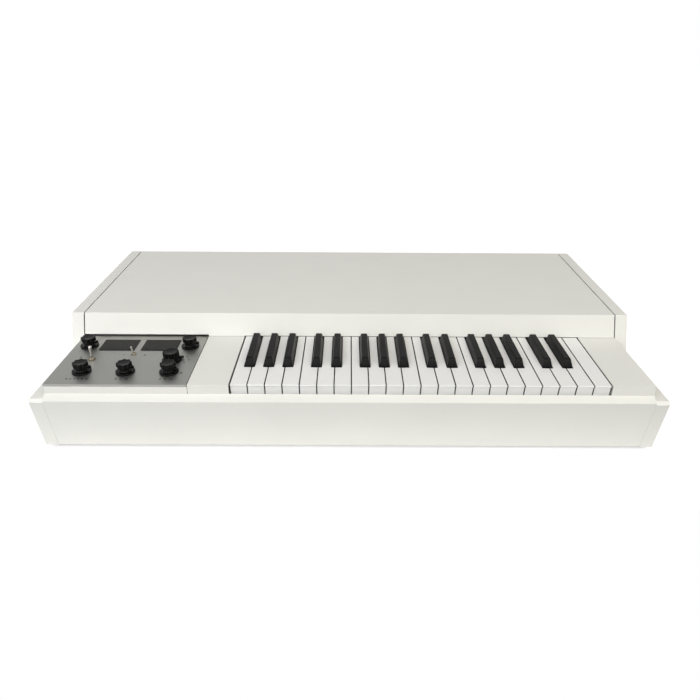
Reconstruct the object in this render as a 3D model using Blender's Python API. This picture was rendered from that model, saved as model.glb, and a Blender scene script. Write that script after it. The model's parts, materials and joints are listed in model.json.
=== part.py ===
"""Sample playback keyboard, built as separate pieces at real size, in metres with +Z up.

The origin is on the floor under the middle of the instrument. +X runs to the treble end and +Y to the back.
Every piece hangs on one empty, cabinet_frame. Its zero is the underside of the cabinet, below the front faces
of the blocks beside the keys, so depths and heights read as they would on a drawing of the cabinet.
"""

import math

import bmesh
import bpy
from mathutils import Matrix, Vector

MM = 0.001

# Clearances
FIT = 0.3 * MM  # between pieces that rest on or against each other
HOOD_SIDE_GAP = 1.7 * MM  # dark joint between the hood and each side board
HOOD_RELIEF = 2.2 * MM  # slot under the hood, over the panel
KEY_RELIEF = 0.8 * MM  # slot under the hood, over the keys
PANEL_GAP = 0.9 * MM  # between the panel and the block beside it
KEY_GAP = 1.4 * MM  # between neighbouring naturals
KEY_SIDE_GAP = 0.8 * MM  # between a sharp and the naturals beside it
SHARP_FRONT_GAP = 1.2 * MM  # a sharp's front swings forward as it goes down
KEY_END_GAP = 1.6 * MM  # between the outer naturals and the blocks
KEY_SETBACK = 1.0 * MM  # naturals' fronts behind the blocks' fronts
SPINDLE_GAP = 0.3 * MM  # round a spindle in its bush, and round a bush in the panel
STOP_GAP = 1.5 * MM  # under a key's skirt when it is fully down

# Cabinet boards
BOARD = 18 * MM
BASE_BOARD = 15 * MM
WALL = 9 * MM  # walls of the control box and the blocks
FOOT_HEIGHT = 6 * MM
FOOT_RADIUS = 12 * MM
FOOT_INSET = 34 * MM
PLAY_HEIGHT = 101.5 * MM  # key tops, block tops and panel top, above the cabinet's underside
PLAY_DEPTH = 146 * MM  # block fronts to the foot of the hood
HOOD_RISE = 32.8 * MM
HOOD_DEPTH = 308.6 * MM
HOOD_LEAN = math.radians(24.5)  # hood front, back from vertical
LEDGE_DROP = 13.7 * MM  # back of the ledge, below the key tops
LEDGE_FALL = 4.8 * MM  # from the ledge's back to its front
LEDGE_REACH = 11.5 * MM
LEDGE_NOSE = 2 * MM  # radius of the ledge's front edge
FRONT_TOE = 1.5 * MM  # slanted front at the cabinet's underside, behind the blocks' fronts
RAIL_LIFT = 1.5 * MM
SIDE_DROP = 18.2 * MM  # low part of the side boards, below the key tops
SIDE_CHAMFER = 4.2 * MM

# Keys
OCTAVES = 3
PITCH = 23.5 * MM
HEAD = 48.5 * MM
SHOULDER = 0.6 * MM  # rounding where a natural narrows beside a sharp
KEY_BODY = 15 * MM
KEY_WALL = 2.2 * MM
KEY_TOP = 3 * MM
LIP = 2.4 * MM
LIP_OVERHANG = 1.2 * MM
LIP_SLOPE = 0.3 * MM
LIP_CHAMFER = 0.6 * MM
SKIRT = 20 * MM
SKIRT_LEAN = 2.6 * MM
SHARP_WIDTH = 14.0 * MM
SHARP_TOP_WIDTH = 9.2 * MM
SHARP_RISE = 11.5 * MM
SHARP_SLOPE = 7.5 * MM  # how far the sharp's front runs back as it rises
SHARP_END = 10 * MM  # sharps' raised parts stop this far in front of the hood
SHARP_EDGE = 0.8 * MM
KEY_DIP = 10 * MM
PIVOT_DEPTH = 200 * MM
KEY_TAIL = 14 * MM
BEAD_RADIUS = 3 * MM
SHEET = 2 * MM
FRAME_FRONT = 26 * MM
FRAME_FLANGE = 18 * MM
SHELF_DROP = 28 * MM
GUIDE_LENGTH = 12 * MM
GUIDE_GAP = 0.4 * MM
GUIDE_RISE = 2.5 * MM
GUIDE_DEPTH = 28 * MM
SHARP_GUIDE_DEPTH = 76 * MM

# Widths along the front
CONTROL_WIDTH = 193.5 * MM
BASS_BLOCK = 55.6 * MM
TREBLE_BLOCK = 58.1 * MM

# Control panel
PLATE = 3 * MM
CONTROL_SHIFT = 3.6 * MM  # middle of the front row, to the right of the panel's middle
REAR_SHIFT = -3 * MM  # middle of the rear row and the displays, from the front row's
FRONT_ROW = 34.8 * MM
REAR_ROW = 112 * MM
FRONT_EDGE = 36.15 * MM  # outer knobs' axes, from the panel's ends
REAR_EDGE = 21.05 * MM
SELECTOR_ROW = 68.6 * MM
SELECTOR_SHIFT = -4.6 * MM  # from the front right knob
TOGGLE_ROW = 70.5 * MM
SMALL_TOGGLE_ROW = 86.5 * MM
SMALL_TOGGLE_SHIFT = -4.5 * MM
DISPLAY_ROW = 115.5 * MM
DISPLAY_EDGE = 39.45 * MM
DISPLAY_DEPTH = 31.8 * MM
DISPLAY_SPACE = 10.2 * MM
DISPLAY_RIM = 4 * MM
DISPLAY_BODY = 5 * MM
DISPLAY_SINK = 0.8 * MM  # glass below the panel's face
LAMP_RADIUS = 1.5 * MM
LAMP_EDGE = 14.8 * MM
LAMP_ROW = 31.9 * MM
SPINDLE = 3 * MM  # radius
SPINDLE_DEPTH = 6 * MM  # below the panel's face
BUSH = 4.6 * MM  # radius of a potentiometer's threaded bush
BUSH_SINK = 1.0 * MM
POT_RADIUS = 8 * MM
POT_HEIGHT = 7 * MM
BOARD_SINK = 16 * MM  # circuit board below the panel's underside
BOARD_SHEET = 1.6 * MM
KNOB_LIFT = 0.6 * MM
KNOB_HEIGHT = 15 * MM
KNOB_SKIRT = 13.4 * MM
KNOB_POINTER = 14.8 * MM
KNOB_NECK = 8.0 * MM
KNOB_CAP = 10.6 * MM
KNOB_CAP_LOW = 0.62  # underside of the cap, in shares of the height
KNOB_EDGE = 0.8 * MM
FLUTES = 8
FLUTE_SHARE = 0.16  # of the cap's radius
SELECTOR_HEIGHT = 14.8 * MM
SELECTOR_SKIRT = 13.8 * MM
SELECTOR_POINTER = 17.3 * MM
SELECTOR_NECK = 10.6 * MM
SELECTOR_CAP = 11.6 * MM
SELECTOR_CAP_LOW = 0.28
LARGE_BUSH = 5.6 * MM
LARGE_BUSH_RISE = 4 * MM
LARGE_LEVER = 17 * MM
LARGE_BALL = 2.3 * MM
SMALL_BUSH = 3.2 * MM
SMALL_BUSH_RISE = 2.6 * MM
SMALL_LEVER = 10.5 * MM
SMALL_BALL = 1.5 * MM
LEVER_LEAN = math.radians(12)

# Back
BAY_MIDDLE = -170 * MM
BAY_WIDTH = 236 * MM
BAY_HEIGHT = 52 * MM
BAY_FLOOR = 34 * MM
BAY_FLANGE = 12 * MM
CONNECTOR_PLATE = 2 * MM
SOCKET_SPACING = 27 * MM
JACK_RADIUS = 3.3 * MM
JACK_DEPTH = 18 * MM
DIN_RADIUS = 7.6 * MM
DIN_DEPTH = 9 * MM
INLET_WIDTH = 25 * MM
INLET_HEIGHT = 17 * MM
INLET_DEPTH = 15 * MM
SOCKET_WALL = 3.5 * MM
MAIN_BOARD_DEPTH = 110 * MM

# Worked out from the sizes above
KEY_PATTERN = (4, 3) * OCTAVES + (1,)  # naturals in each group from F, the last one alone
KEYS_WIDTH = sum(KEY_PATTERN) * PITCH
INNER_WIDTH = 3 * FIT + CONTROL_WIDTH + BASS_BLOCK + TREBLE_BLOCK + 2 * KEY_END_GAP + KEYS_WIDTH
INNER_LEFT = -INNER_WIDTH / 2
CONTROL_LEFT = INNER_LEFT + FIT
BASS_LEFT = CONTROL_LEFT + CONTROL_WIDTH + FIT
KEYS_LEFT = BASS_LEFT + BASS_BLOCK + KEY_END_GAP
KEYS_RIGHT = KEYS_LEFT + KEYS_WIDTH
TREBLE_LEFT = KEYS_RIGHT + KEY_END_GAP
BACK = PLAY_DEPTH + HOOD_DEPTH
HOOD_HEIGHT = PLAY_HEIGHT + HOOD_RISE
LEDGE_HEIGHT = PLAY_HEIGHT - LEDGE_DROP
NOSE_HEIGHT = LEDGE_HEIGHT - LEDGE_FALL - LEDGE_NOSE
FRONT_LEAN = math.atan2(FRONT_TOE + LEDGE_REACH, NOSE_HEIGHT)
SIDE_HEIGHT = PLAY_HEIGHT - SIDE_DROP
REBATE_HEIGHT = PLAY_HEIGHT - SKIRT - KEY_DIP - STOP_GAP
PIVOT_HEIGHT = PLAY_HEIGHT - KEY_BODY
SHELF_HEIGHT = PLAY_HEIGHT - SHELF_DROP
GUIDE_HEIGHT = PIVOT_HEIGHT + GUIDE_RISE
PANEL_UNDER = PLAY_HEIGHT - PLATE
CONTROL_MIDDLE = CONTROL_LEFT + CONTROL_WIDTH / 2 + CONTROL_SHIFT
REAR_MIDDLE = CONTROL_MIDDLE + REAR_SHIFT
FRONT_SPREAD = CONTROL_WIDTH / 2 - FRONT_EDGE
REAR_SPREAD = CONTROL_WIDTH / 2 - REAR_EDGE
DISPLAY_WIDTH = (CONTROL_WIDTH - DISPLAY_SPACE) / 2 - DISPLAY_EDGE
BOARD_TOP = PANEL_UNDER - BOARD_SINK
BUSH_TOP = PLAY_HEIGHT - BUSH_SINK
BAY_SHEET_FRONT = BACK - BOARD - FIT - CONNECTOR_PLATE
PIVOT = Vector((0, PIVOT_DEPTH, PIVOT_HEIGHT))


def clear_scene():
    for obj in list(bpy.data.objects):
        bpy.data.objects.remove(obj)


def material(name, colour, roughness, metallic=0.0):
    made = bpy.data.materials.new(name)
    made.use_nodes = True
    shader = made.node_tree.nodes["Principled BSDF"]
    shader.inputs["Base Color"].default_value = (*colour, 1)
    shader.inputs["Roughness"].default_value = roughness
    shader.inputs["Metallic"].default_value = metallic
    return made


def prism(outline, low, high):
    """A solid of the outline's (depth, height) points, from x = low to x = high."""
    bm = bmesh.new()
    face = bm.faces.new([bm.verts.new((low, y, z)) for y, z in outline])
    made = bmesh.ops.extrude_face_region(bm, geom=[face])["geom"]
    moved = [item for item in made if isinstance(item, bmesh.types.BMVert)]
    bmesh.ops.translate(bm, verts=moved, vec=(high - low, 0, 0))
    bmesh.ops.recalc_face_normals(bm, faces=bm.faces)
    return bm


def block(low, high):
    """A box between two corners."""
    low, high = Vector(low), Vector(high)
    bm = bmesh.new()
    size = Matrix.Diagonal((*(high - low), 1))
    bmesh.ops.create_cube(bm, size=1, matrix=Matrix.Translation((low + high) / 2) @ size)
    return bm


def turned(rings, segments=24):
    """A body about +Z. Each ring is a height and a radius, or a height and the radius at an angle."""
    bm = bmesh.new()
    ring = bmesh.ops.create_circle(bm, segments=segments, radius=1)["verts"]
    edges = bm.edges[:]
    bm.faces.new(ring)
    for number, (height, radius) in enumerate(rings):
        if number:
            made = bmesh.ops.extrude_edge_only(bm, edges=edges)["geom"]
            ring = [item for item in made if isinstance(item, bmesh.types.BMVert)]
            edges = [
                item for item in made if isinstance(item, bmesh.types.BMEdge) and set(item.verts) <= set(ring)
            ]
        for vert in ring:
            angle = math.atan2(vert.co.y, vert.co.x)
            reach = radius(angle) if callable(radius) else radius
            vert.co = (reach * math.cos(angle), reach * math.sin(angle), height)
    bm.faces.new(sorted(ring, key=lambda vert: math.atan2(vert.co.y, vert.co.x)))
    bmesh.ops.recalc_face_normals(bm, faces=bm.faces)
    return bm


def moved(bm, matrix):
    bm.transform(matrix)
    return bm


def at(bm, x, y, z=0.0):
    return moved(bm, Matrix.Translation((x, y, z)))


def together(solids):
    """Solids that don't touch each other, in one mesh, for one cut or join."""
    bm = bmesh.new()
    for solid in solids:
        mesh = to_mesh("together", solid)
        bm.from_mesh(mesh)
        bpy.data.meshes.remove(mesh)
    return bm


def to_mesh(name, bm):
    mesh = bpy.data.meshes.new(name)
    bm.to_mesh(mesh)
    bm.free()
    return mesh


def place(name, mesh, finish, location=(0, 0, 0), turn=(0, 0, 0)):
    """An object of the assembly, on the cabinet's empty."""
    obj = bpy.data.objects.new(name, mesh)
    obj.parent = bpy.data.objects["cabinet_frame"]
    obj.location = location
    obj.rotation_euler = turn
    bpy.context.scene.collection.objects.link(obj)
    if finish and not mesh.materials:
        mesh.materials.append(finish)
    return obj


def piece(name, bm, finish, origin=(0, 0, 0)):
    """An object whose own origin is at the given point of the cabinet, such as its joint's axis."""
    return place(name, to_mesh(name, at(bm, *(-Vector(origin)))), finish, origin)


def round_shading(mesh):
    mesh.shade_smooth()
    mesh.set_sharp_from_angle(angle=math.radians(35))


def combine(obj, operation, bm):
    helper = place(f"{obj.name}_{operation.lower()}", to_mesh("helper", bm), None)
    helper.hide_render = True
    helper.display_type = "WIRE"
    modifier = obj.modifiers.new(operation.title(), "BOOLEAN")
    modifier.operation = operation
    modifier.solver = "EXACT"
    modifier.object = helper


def cut(obj, bm):
    combine(obj, "DIFFERENCE", bm)


def join(obj, bm):
    combine(obj, "UNION", bm)


def arc(middle, radius, start, end, steps):
    """Points of an arc in the (depth, height) plane, its angles in degrees from the back, over the top."""
    turns = [math.radians(start + (end - start) * step / steps) for step in range(steps + 1)]
    return [(middle[0] + radius * math.cos(turn), middle[1] + radius * math.sin(turn)) for turn in turns]


def hood_face(height):
    """Depth of the hood's front, and of the side boards' slanted edge, at a height."""
    return PLAY_DEPTH + (height - PLAY_HEIGHT) * math.tan(HOOD_LEAN)


def front_face(height):
    """Depth of the slanted front, where the rail and the side boards are flush, at a height."""
    return FRONT_TOE - height * math.tan(FRONT_LEAN)


def rail_back(height):
    return front_face(height) + BOARD / math.cos(FRONT_LEAN)


def build_sides(finish):
    nose = front_face(SIDE_HEIGHT - SIDE_CHAMFER)
    outline = [
        (FRONT_TOE, 0),
        (nose, SIDE_HEIGHT - SIDE_CHAMFER),
        (nose + SIDE_CHAMFER, SIDE_HEIGHT),
        (hood_face(SIDE_HEIGHT), SIDE_HEIGHT),
        (hood_face(HOOD_HEIGHT), HOOD_HEIGHT),
        (BACK, HOOD_HEIGHT),
        (BACK, 0),
    ]
    piece("side_panel_left", prism(outline, INNER_LEFT - BOARD, INNER_LEFT), finish)
    piece("side_panel_right", prism(outline, -INNER_LEFT, -INNER_LEFT + BOARD), finish)


def build_base(finish):
    front = rail_back(RAIL_LIFT) + FIT
    back = BACK - BOARD - FIT
    low = (INNER_LEFT + FIT, front, 0)
    base = piece("base_board", block(low, (-low[0], back, BASE_BOARD)), finish)
    overlap = BASE_BOARD / 3
    rings = [(-FOOT_HEIGHT, FOOT_RADIUS * 0.8), (0, FOOT_RADIUS), (overlap, FOOT_RADIUS)]
    corners = [
        (side * (-INNER_LEFT - FOOT_INSET), depth)
        for side in (-1, 1)
        for depth in (front + FOOT_INSET, back - FOOT_INSET)
    ]
    join(base, together([at(turned(rings, 16), x, y) for x, y in corners]))


def build_rail(finish):
    nose = (LEDGE_NOSE / math.cos(FRONT_LEAN) - LEDGE_REACH, NOSE_HEIGHT)
    lean = math.degrees(FRONT_LEAN)
    slope = math.degrees(math.atan2(LEDGE_FALL, -nose[0]))
    outline = [
        (rail_back(RAIL_LIFT), RAIL_LIFT),
        (front_face(RAIL_LIFT), RAIL_LIFT),
        *arc(nose, LEDGE_NOSE, 180 + lean, 90 + slope, 5),
        (-FIT, LEDGE_HEIGHT),
        (-FIT, REBATE_HEIGHT),
        (rail_back(REBATE_HEIGHT), REBATE_HEIGHT),
    ]
    piece("front_rail", prism(outline, INNER_LEFT + FIT, -INNER_LEFT - FIT), finish)


def block_outline(top):
    """Outline of what stands beside the keys: it rests on the rail's rebate and on the base board."""
    floor = BASE_BOARD + FIT
    back = PLAY_DEPTH + BOARD
    return [
        (0, top),
        (0, REBATE_HEIGHT + FIT),
        (rail_back(REBATE_HEIGHT) + FIT, REBATE_HEIGHT + FIT),
        (rail_back(floor) + FIT, floor),
        (back, floor),
        (back, top),
    ]


def build_control_box(finish):
    right = CONTROL_LEFT + CONTROL_WIDTH
    top = PANEL_UNDER - FIT
    box = piece("control_box", prism(block_outline(top), CONTROL_LEFT, right), finish)
    inside = ((CONTROL_LEFT + WALL, WALL, 0), (right - WALL, PLAY_DEPTH + BOARD - WALL, PLAY_HEIGHT))
    cut(box, block(*inside))


def build_cheeks(finish):
    """The two blocks are hollow from below, like the boxes of board that they are."""
    blocks = (("cheek_left", BASS_LEFT, BASS_BLOCK), ("cheek_right", TREBLE_LEFT, TREBLE_BLOCK))
    for name, left, width in blocks:
        cheek = piece(name, prism(block_outline(PLAY_HEIGHT), left, left + width), finish)
        front = rail_back(REBATE_HEIGHT) + FIT + WALL
        top = PLAY_HEIGHT - BOARD
        inside = block((left + WALL, front, 0), (left + width - WALL, PLAY_DEPTH + BOARD - WALL, top))
        cut(cheek, inside)


def build_hood(finish):
    foot = PLAY_HEIGHT + FIT
    under = HOOD_HEIGHT - BOARD
    thick = BOARD / math.cos(HOOD_LEAN)
    outline = [
        (hood_face(foot), foot),
        (hood_face(HOOD_HEIGHT), HOOD_HEIGHT),
        (BACK, HOOD_HEIGHT),
        (BACK, under),
        (hood_face(under) + thick, under),
        (hood_face(foot) + thick, foot),
    ]
    left = INNER_LEFT + HOOD_SIDE_GAP
    hood = piece("hood", prism(outline, left, -left), finish)
    spans = (
        (INNER_LEFT, CONTROL_LEFT + CONTROL_WIDTH, HOOD_RELIEF),
        (KEYS_LEFT - KEY_END_GAP, KEYS_RIGHT + KEY_END_GAP, KEY_RELIEF),
    )
    reliefs = [block((low, 0, 0), (high, BACK - BOARD, PLAY_HEIGHT + gap)) for low, high, gap in spans]
    cut(hood, together(reliefs))


def build_rear_panel(finish):
    corner = (INNER_LEFT + FIT, BACK - BOARD, 0)
    panel = piece("rear_panel", block(corner, (-corner[0], BACK, HOOD_HEIGHT - BOARD - FIT)), finish)
    low = (BAY_MIDDLE - BAY_WIDTH / 2, 0, BAY_FLOOR)
    high = (BAY_MIDDLE + BAY_WIDTH / 2, BACK + BOARD, BAY_FLOOR + BAY_HEIGHT)
    cut(panel, block(low, high))


def key_slots():
    """For each natural its head's and tail's sides, and for each sharp its slot's sides, from the left."""
    slot = SHARP_WIDTH + 2 * KEY_SIDE_GAP
    naturals, sharps = [], []
    start = KEYS_LEFT
    for count in KEY_PATTERN:
        tail = (count * PITCH - (count - 1) * slot) / count
        for number in range(count):
            head = start + number * PITCH
            sides = (head + KEY_GAP / 2, head + PITCH - KEY_GAP / 2)
            left = start + number * (tail + slot)
            tail_left = left if number else sides[0]
            tail_right = left + tail if number < count - 1 else sides[1]
            naturals.append((*sides, tail_left, tail_right))
            if number < count - 1:
                sharps.append((left + tail + KEY_SIDE_GAP, left + tail + KEY_SIDE_GAP + SHARP_WIDTH))
        start += count * PITCH
    return naturals, sharps


def underside(front):
    """A key's lower outline from the tail's end to its front, with the notch that hooks on the pivot bead."""
    notch = arc((PIVOT_DEPTH, PIVOT_HEIGHT), BEAD_RADIUS + FIT, 0, 180, 8)
    return [(PIVOT_DEPTH + KEY_TAIL, PIVOT_HEIGHT), *notch, (front, PIVOT_HEIGHT)]


def hollow_key(key, left, right, front):
    """The channel in a key's underside, which runs over its guide."""
    back = PIVOT_DEPTH - BEAD_RADIUS - FIT - 2 * KEY_WALL
    low = (left + KEY_WALL, front, PLAY_HEIGHT - 2 * SKIRT)
    cut(key, block(low, (right - KEY_WALL, back, PLAY_HEIGHT - KEY_TOP)))


def build_natural(name, finish, head_left, head_right, tail_left, tail_right):
    front = KEY_SETBACK
    lip = PLAY_HEIGHT - LIP
    skirt = PLAY_HEIGHT - SKIRT
    toe = front + SKIRT_LEAN
    outline = [
        (front + LIP_CHAMFER, PLAY_HEIGHT),
        (PIVOT_DEPTH + KEY_TAIL, PLAY_HEIGHT),
        *underside(toe + KEY_WALL + SKIRT - KEY_BODY),
        (toe + KEY_WALL, skirt),
        (toe, skirt),
        (front + LIP_OVERHANG, lip - LIP_SLOPE),
        (front, lip),
        (front, PLAY_HEIGHT - LIP_CHAMFER),
    ]
    bm = prism(outline, head_left, head_right)
    shoulder = front + HEAD
    for depth in (shoulder, shoulder + SHOULDER):
        everything = [*bm.verts, *bm.edges, *bm.faces]
        bmesh.ops.bisect_plane(bm, geom=everything, dist=1e-7, plane_co=(0, depth, 0), plane_no=(0, 1, 0))
    middle = (head_left + head_right) / 2
    for vert in bm.verts:
        if vert.co.y > shoulder + SHOULDER / 2:
            vert.co.x = tail_left if vert.co.x < middle else tail_right
    centre = (tail_left + tail_right) / 2
    key = piece(name, bm, finish, PIVOT + Vector((centre, 0, 0)))
    hollow_key(key, tail_left, tail_right, toe + KEY_WALL + SKIRT - KEY_BODY + KEY_WALL)


def build_sharp(name, finish, left, right):
    front = KEY_SETBACK + HEAD + SHOULDER + SHARP_FRONT_GAP
    top = PLAY_HEIGHT + SHARP_RISE
    end = PLAY_DEPTH - SHARP_END
    stem = PLAY_HEIGHT - KEY_WALL / 2
    outline = [
        (front, PLAY_HEIGHT),
        (front + SHARP_SLOPE * 0.15, PLAY_HEIGHT + SHARP_RISE * 0.25),
        (front + SHARP_SLOPE * 0.75, top - SHARP_RISE * 0.12),
        (front + SHARP_SLOPE, top),
        (end, top),
        (end + SHARP_EDGE, PLAY_HEIGHT),
        (end + SHARP_EDGE, stem),
        (PIVOT_DEPTH + KEY_TAIL, stem),
        *underside(front),
    ]
    bm = prism(outline, left, right)
    everything = [*bm.verts, *bm.edges, *bm.faces]
    bmesh.ops.bisect_plane(bm, geom=everything, dist=1e-7, plane_co=(0, 0, PLAY_HEIGHT), plane_no=(0, 0, 1))
    centre = (left + right) / 2
    taper = (SHARP_WIDTH - SHARP_TOP_WIDTH) / SHARP_WIDTH / SHARP_RISE
    for vert in bm.verts:
        rise = max(vert.co.z - PLAY_HEIGHT, 0)
        vert.co.x = centre + (vert.co.x - centre) * (1 - taper * rise)
    rim = [edge for edge in bm.edges if all(vert.co.z > top - SHARP_EDGE / 10 for vert in edge.verts)]
    bmesh.ops.bevel(bm, geom=rim, affect="EDGES", offset=SHARP_EDGE, segments=1, profile=0.5, material=-1)
    key = piece(name, bm, finish, PIVOT + Vector((centre, 0, 0)))
    hollow_key(key, left, right, front + 2 * KEY_WALL)


def build_keys(natural, sharp):
    naturals, sharps = key_slots()
    for number, sides in enumerate(naturals, 1):
        build_natural(f"white_key_{number:02d}", natural, *sides)
    for number, sides in enumerate(sharps, 1):
        build_sharp(f"black_key_{number:02d}", sharp, *sides)


def guide(left, right, depth):
    """A guide post that stands in a key's channel."""
    inset = KEY_WALL + GUIDE_GAP
    low = (left + inset, depth, SHELF_HEIGHT - SHEET / 2)
    return block(low, (right - inset, depth + GUIDE_LENGTH, GUIDE_HEIGHT))


def build_key_frame(finish):
    """Folded steel chassis: a shelf on two legs, whose back leg ends in the bead that the keys pivot on."""
    floor = BASE_BOARD + FIT
    front, pivot = FRAME_FRONT, PIVOT_DEPTH
    open_angle = math.degrees(math.asin(SHEET / 2 / BEAD_RADIUS))
    outline = [
        (front + FRAME_FLANGE, floor),
        (front, floor),
        (front, SHELF_HEIGHT),
        (pivot - SHEET / 2, SHELF_HEIGHT),
        *arc((pivot, PIVOT_HEIGHT), BEAD_RADIUS, 270 - open_angle, open_angle - 90, 12),
        (pivot + SHEET / 2, floor + SHEET),
        (pivot + FRAME_FLANGE, floor + SHEET),
        (pivot + FRAME_FLANGE, floor),
        (pivot - SHEET / 2, floor),
        (pivot - SHEET / 2, SHELF_HEIGHT - SHEET),
        (front + SHEET, SHELF_HEIGHT - SHEET),
        (front + SHEET, floor + SHEET),
        (front + FRAME_FLANGE, floor + SHEET),
    ]
    frame = piece("key_frame", prism(outline, KEYS_LEFT, KEYS_RIGHT), finish)
    naturals, sharps = key_slots()
    guides = [guide(left, right, GUIDE_DEPTH) for _, _, left, right in naturals]
    guides += [guide(left, right, SHARP_GUIDE_DEPTH) for left, right in sharps]
    join(frame, together(guides))


def knob_places():
    """Each small knob's name, place and the angle of its pointer, in degrees from +X."""
    return (
        ("knob_rear_left", REAR_MIDDLE - REAR_SPREAD, REAR_ROW, 55),
        ("knob_rear_right", REAR_MIDDLE + REAR_SPREAD, REAR_ROW, 40),
        ("knob_front_left", CONTROL_MIDDLE - FRONT_SPREAD, FRONT_ROW, 55),
        ("knob_front_middle", CONTROL_MIDDLE, FRONT_ROW, 58),
        ("knob_front_right", CONTROL_MIDDLE + FRONT_SPREAD, FRONT_ROW, 9),
    )


def selector_place():
    return CONTROL_MIDDLE + FRONT_SPREAD + SELECTOR_SHIFT, SELECTOR_ROW


def toggle_places():
    small = CONTROL_MIDDLE + SMALL_TOGGLE_SHIFT
    return (CONTROL_MIDDLE - FRONT_SPREAD, TOGGLE_ROW), (small, SMALL_TOGGLE_ROW)


def display_lefts():
    return REAR_MIDDLE - DISPLAY_SPACE / 2 - DISPLAY_WIDTH, REAR_MIDDLE + DISPLAY_SPACE / 2


def fluted(radius):
    """Radius round a knob's cap: lobes with a scallop between each two."""
    depth = radius * FLUTE_SHARE
    return lambda angle: radius - depth * ((1 - math.cos(FLUTES * angle)) / 2) ** 2


def pointed(radius, reach):
    """Radius round a knob's skirt, with a pointer towards +X."""
    width = math.radians(34)
    return lambda angle: radius + (reach - radius) * max(0, 1 - abs(angle) / width)


def knob_mesh(name, skirt, pointer, neck, cap, height, cap_low):
    """A knob above the panel's face, with its spindle below it."""
    rise, edge = KNOB_LIFT, KNOB_EDGE
    neck_top = height * cap_low
    lobes = fluted(cap)
    rings = [
        (-SPINDLE_DEPTH, SPINDLE),
        (rise, SPINDLE),
        (rise, pointed(skirt, pointer)),
        (rise + 2 * edge, pointed(skirt - edge / 2, pointer - edge)),
        (rise + 3 * edge, neck + edge),
        (neck_top, neck),
        (neck_top + edge, lobes),
        (height - edge, lobes),
        (height, fluted(cap - edge)),
    ]
    mesh = to_mesh(name, turned(rings, 4 * FLUTES))
    round_shading(mesh)
    return mesh


def build_knobs(finish):
    sizes = (KNOB_SKIRT, KNOB_POINTER, KNOB_NECK, KNOB_CAP, KNOB_HEIGHT, KNOB_CAP_LOW)
    small = knob_mesh("small_knob", *sizes)
    for name, x, y, angle in knob_places():
        place(name, small, finish, (x, y, PLAY_HEIGHT), (0, 0, math.radians(angle)))
    sizes = (SELECTOR_SKIRT, SELECTOR_POINTER, SELECTOR_NECK, SELECTOR_CAP, SELECTOR_HEIGHT, SELECTOR_CAP_LOW)
    large = knob_mesh("selector_knob", *sizes)
    place("selector_knob", large, finish, (*selector_place(), PLAY_HEIGHT), (0, 0, math.radians(19)))


def lever_mesh(name, length, ball):
    """A bat lever standing on its ball, whose middle is the pivot."""
    stem = ball * 0.62
    rings = [
        (-ball, ball * 0.35),
        (-ball * 0.7, ball * 0.71),
        (0, ball),
        (ball * 0.7, ball * 0.72),
        (ball, stem),
        (length * 0.35, stem),
        (length * 0.82, stem * 1.75),
        (length * 0.94, stem * 1.6),
        (length, stem * 0.7),
    ]
    mesh = to_mesh(name, turned(rings, 16))
    round_shading(mesh)
    return mesh


def lever_pivot(rise, ball):
    """Height of a lever's pivot in its bush."""
    return PLAY_HEIGHT + rise - ball


def build_levers(finish):
    (large_x, large_y), (small_x, small_y) = toggle_places()
    height = lever_pivot(LARGE_BUSH_RISE, LARGE_BALL)
    mesh = lever_mesh("toggle_lever_large", LARGE_LEVER, LARGE_BALL)
    place("toggle_lever_large", mesh, finish, (large_x, large_y, height), (-LEVER_LEAN, 0, 0))
    height = lever_pivot(SMALL_BUSH_RISE, SMALL_BALL)
    mesh = lever_mesh("toggle_lever_small", SMALL_LEVER, SMALL_BALL)
    place("toggle_lever_small", mesh, finish, (small_x, small_y, height), (0, -LEVER_LEAN, 0))


def build_panel(finish):
    low = (CONTROL_LEFT, 0, PANEL_UNDER)
    high = (CONTROL_LEFT + CONTROL_WIDTH + FIT - PANEL_GAP, PLAY_DEPTH + BOARD / 2, PLAY_HEIGHT)
    panel = piece("control_panel", block(low, high), finish)
    under, over = PANEL_UNDER - PLATE, PLAY_HEIGHT + PLATE

    def hole(x, y, radius):
        return at(turned([(under, radius), (over, radius)], 20), x, y)

    spindles = [(x, y) for _, x, y, _ in knob_places()] + [selector_place()]
    holes = [hole(x, y, BUSH + SPINDLE_GAP) for x, y in spindles]
    large, small = toggle_places()
    holes.append(hole(*large, LARGE_BUSH + SPINDLE_GAP))
    holes.append(hole(*small, SMALL_BUSH + SPINDLE_GAP))
    holes.append(hole(CONTROL_LEFT + CONTROL_WIDTH - LAMP_EDGE, LAMP_ROW, LAMP_RADIUS))
    front = DISPLAY_ROW - DISPLAY_DEPTH / 2
    for left in display_lefts():
        corner = (left + DISPLAY_WIDTH, front + DISPLAY_DEPTH, over)
        holes.append(block((left, front, under), corner))
    cut(panel, together(holes))


def build_displays(finish):
    """A display's body lies under the panel, and its glass stands up into the window."""
    front = DISPLAY_ROW - DISPLAY_DEPTH / 2
    top = PANEL_UNDER - FIT
    for name, left in zip(("display_left", "display_right"), display_lefts()):
        right = left + DISPLAY_WIDTH
        low = (left - DISPLAY_RIM, front - DISPLAY_RIM, top - DISPLAY_BODY)
        body = block(low, (right + DISPLAY_RIM, front + DISPLAY_DEPTH + DISPLAY_RIM, top))
        display = piece(name, body, finish)
        glass = (right - FIT, front + DISPLAY_DEPTH - FIT, PLAY_HEIGHT - DISPLAY_SINK)
        join(display, block((left + FIT, front + FIT, top - DISPLAY_BODY / 2), glass))


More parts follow.
